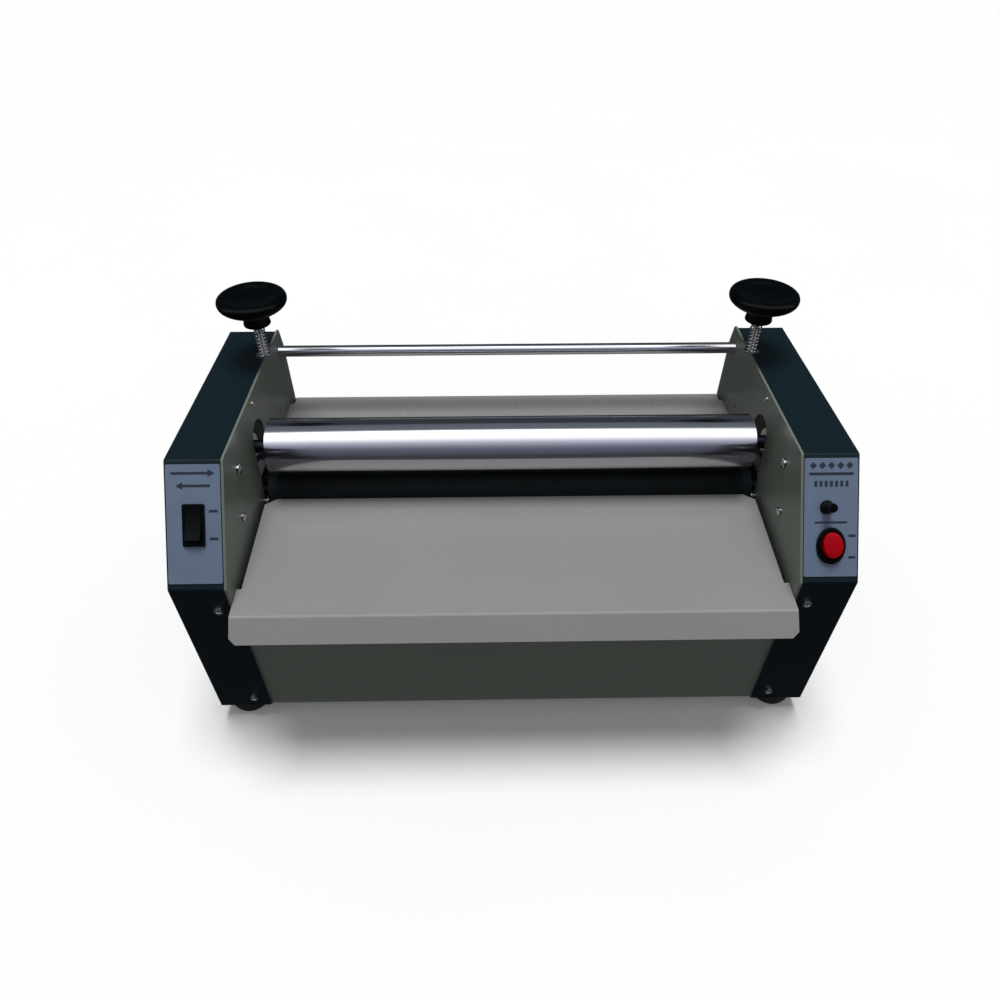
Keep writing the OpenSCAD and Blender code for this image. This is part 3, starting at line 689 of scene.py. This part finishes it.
# polished parts don't mirror the side plates and covers, so the rollers stay bright to their ends
for node, width in SKINS.items():
    skin = rounded_skin(node, width, fold=TRAY_FOLD if node == "front_tray" else 0.0)
    if node.endswith(("side_plate", "cover")):
        skin.visible_glossy = False
for node in NODES:
    dress(node)


# ---------------------------------------------------------------- stage

def sunlight(direction, angle, strength):
    """Soft daylight from above. Polished parts reflect the room instead of it."""
    data = bpy.data.lights.new("sunlight", "SUN")
    data.angle = math.radians(angle)
    data.energy = strength
    lamp = bpy.data.objects.new("sunlight", data)
    bpy.context.scene.collection.objects.link(lamp)
    lamp.rotation_euler = Vector(direction).to_track_quat("-Z", "Y").to_euler()
    lamp.visible_glossy = False


def floor():
    """The white table. It's seen by the camera and takes shadows, but casts no light back."""
    mesh = bpy.data.meshes.new("floor")
    reach = 12.0
    mesh.from_pydata([(-reach, -reach, 0), (reach, -reach, 0), (reach, reach, 0), (-reach, reach, 0)],
                     [], [(0, 1, 2, 3)])
    piece = new_piece("floor", mesh)
    s = Shader("floor_paper", (0.95, 0.95, 0.95), 0.9, Specular_IOR_Level=0.1,
               Emission_Color=(1, 1, 1, 1), Emission_Strength=0.06)
    s.color_between(s.spread(s.noise(3, 2), 0, 1), (0.945, 0.945, 0.945), (0.955, 0.955, 0.955))
    mesh.materials.append(s.material)
    piece.visible_diffuse = False
    piece.visible_glossy = False


def sphere(name, radius):
    """A shell round the whole scene, hidden from diffuse and shadow rays."""
    mesh = bpy.data.meshes.new(name)
    bm = bmesh.new()
    bmesh.ops.create_uvsphere(bm, u_segments=96, v_segments=48, radius=radius)
    bm.to_mesh(mesh)
    bm.free()
    mesh.shade_smooth()
    piece = new_piece(name, mesh)
    piece.location = (0, 0, 0.15)
    piece.visible_diffuse = False
    piece.visible_transmission = False
    piece.visible_shadow = False
    return piece


# Radiance of the room by angle from the front horizon, over the zenith (90), to the back horizon (180)
ROOM = [
    (-180, (0.035, 0.037, 0.042)), (-90, (0.035, 0.035, 0.035)), (-8, (0.06, 0.06, 0.075)),
    (1, (0.1, 0.103, 0.138)), (17, (0.136, 0.14, 0.198)), (25.5, (0.2, 0.207, 0.278)),
    (34, (0.32, 0.325, 0.42)), (42, (0.485, 0.49, 0.59)), (50, (0.67, 0.68, 0.79)),
    (58, (1.1, 1.12, 1.21)), (66, (1.48, 1.5, 1.57)), (76, (2.05, 2.1, 2.12)), (96, (2.25, 2.25, 2.3)),
    (102, (0.17, 0.185, 0.225)), (128, (0.145, 0.16, 0.195)), (136, (0.04, 0.048, 0.06)),
    (172, (0.05, 0.056, 0.068)), (180, (0.12, 0.12, 0.13)),
]
# The brightest radiance in ROOM; the ramp's colours are shares of it
PEAK = 2.3


def reflected_room():
    """What polished parts reflect: a ceiling light over and in front of the machine, darker walls."""
    piece = sphere("reflected_room", 5.0)
    piece.visible_camera = False
    material = bpy.data.materials.new("reflected_room")
    material.use_nodes = True
    nodes, links = material.node_tree.nodes, material.node_tree.links
    nodes.clear()
    output = nodes.new("ShaderNodeOutputMaterial")
    emission = nodes.new("ShaderNodeEmission")
    emission.inputs["Strength"].default_value = PEAK
    axes = nodes.new("ShaderNodeSeparateXYZ")
    links.new(nodes.new("ShaderNodeTexCoord").outputs["Object"], axes.inputs["Vector"])
    forward = nodes.new("ShaderNodeMath")
    forward.operation = "MULTIPLY"
    forward.inputs[1].default_value = -1
    links.new(axes.outputs["Y"], forward.inputs[0])
    angle = nodes.new("ShaderNodeMath")
    angle.operation = "ARCTAN2"
    links.new(axes.outputs["Z"], angle.inputs[0])
    links.new(forward.outputs["Value"], angle.inputs[1])
    share = nodes.new("ShaderNodeMapRange")
    share.inputs["From Min"].default_value = -math.pi
    share.inputs["From Max"].default_value = math.pi
    links.new(angle.outputs["Value"], share.inputs["Value"])
    ramp = nodes.new("ShaderNodeValToRGB")
    stops = ramp.color_ramp.elements
    for degrees, radiance in ROOM[1:-1]:
        stop = stops.new(degrees / 360 + 0.5)
        stop.color = (*(c / PEAK for c in radiance), 1)
    stops[0].color = (*(c / PEAK for c in ROOM[0][1]), 1)
    stops[-1].color = (*(c / PEAK for c in ROOM[-1][1]), 1)
    links.new(share.outputs["Result"], ramp.inputs["Fac"])
    links.new(ramp.outputs["Color"], emission.inputs["Color"])
    links.new(emission.outputs["Emission"], output.inputs["Surface"])
    material.cycles.emission_sampling = "NONE"
    piece.data.materials.append(material)


def backdrop():
    """The white studio wall, for the camera only."""
    piece = sphere("backdrop", 11.0)
    piece.visible_glossy = False
    s = Shader("backdrop_paper", (0, 0, 0), 1.0, Emission_Color=(1, 1, 1, 1), Emission_Strength=1.0)
    s.color_between(s.spread(s.noise(1, 1), 0, 1), (0, 0, 0), (0.01, 0.01, 0.01))
    s.material.cycles.emission_sampling = "NONE"
    piece.data.materials.append(s.material)


def world():
    """Even white light from all round, for the parts that the sunlight doesn't reach."""
    sky = bpy.data.worlds.new("studio")
    sky.use_nodes = True
    sky.node_tree.nodes["Background"].inputs["Color"].default_value = (1, 1, 1, 1)
    sky.node_tree.nodes["Background"].inputs["Strength"].default_value = SKY_STRENGTH
    bpy.context.scene.world = sky


LENS = 25.95
CAMERA_PLACE = (-0.0169, -0.4834, 0.5978)
LOOK_DOWN = 42.27
PAN = -0.89
SKY_STRENGTH = 0.24


def camera():
    """A hand-held camera over the front edge: 42 degrees down, just left of the middle."""
    data = bpy.data.cameras.new("camera")
    data.sensor_width = 36.0
    data.lens = LENS
    data.clip_start = 0.01
    cam = bpy.data.objects.new("camera", data)
    bpy.context.scene.collection.objects.link(cam)
    cam.location = CAMERA_PLACE
    cam.rotation_euler = (math.radians(90 - LOOK_DOWN), 0, math.radians(PAN))
    bpy.context.scene.camera = cam


floor()
reflected_room()
backdrop()
world()
camera()
sunlight((0.0, -0.14, -1.0), 24, 2.4)
bpy.context.scene.view_settings.view_transform = "Standard"
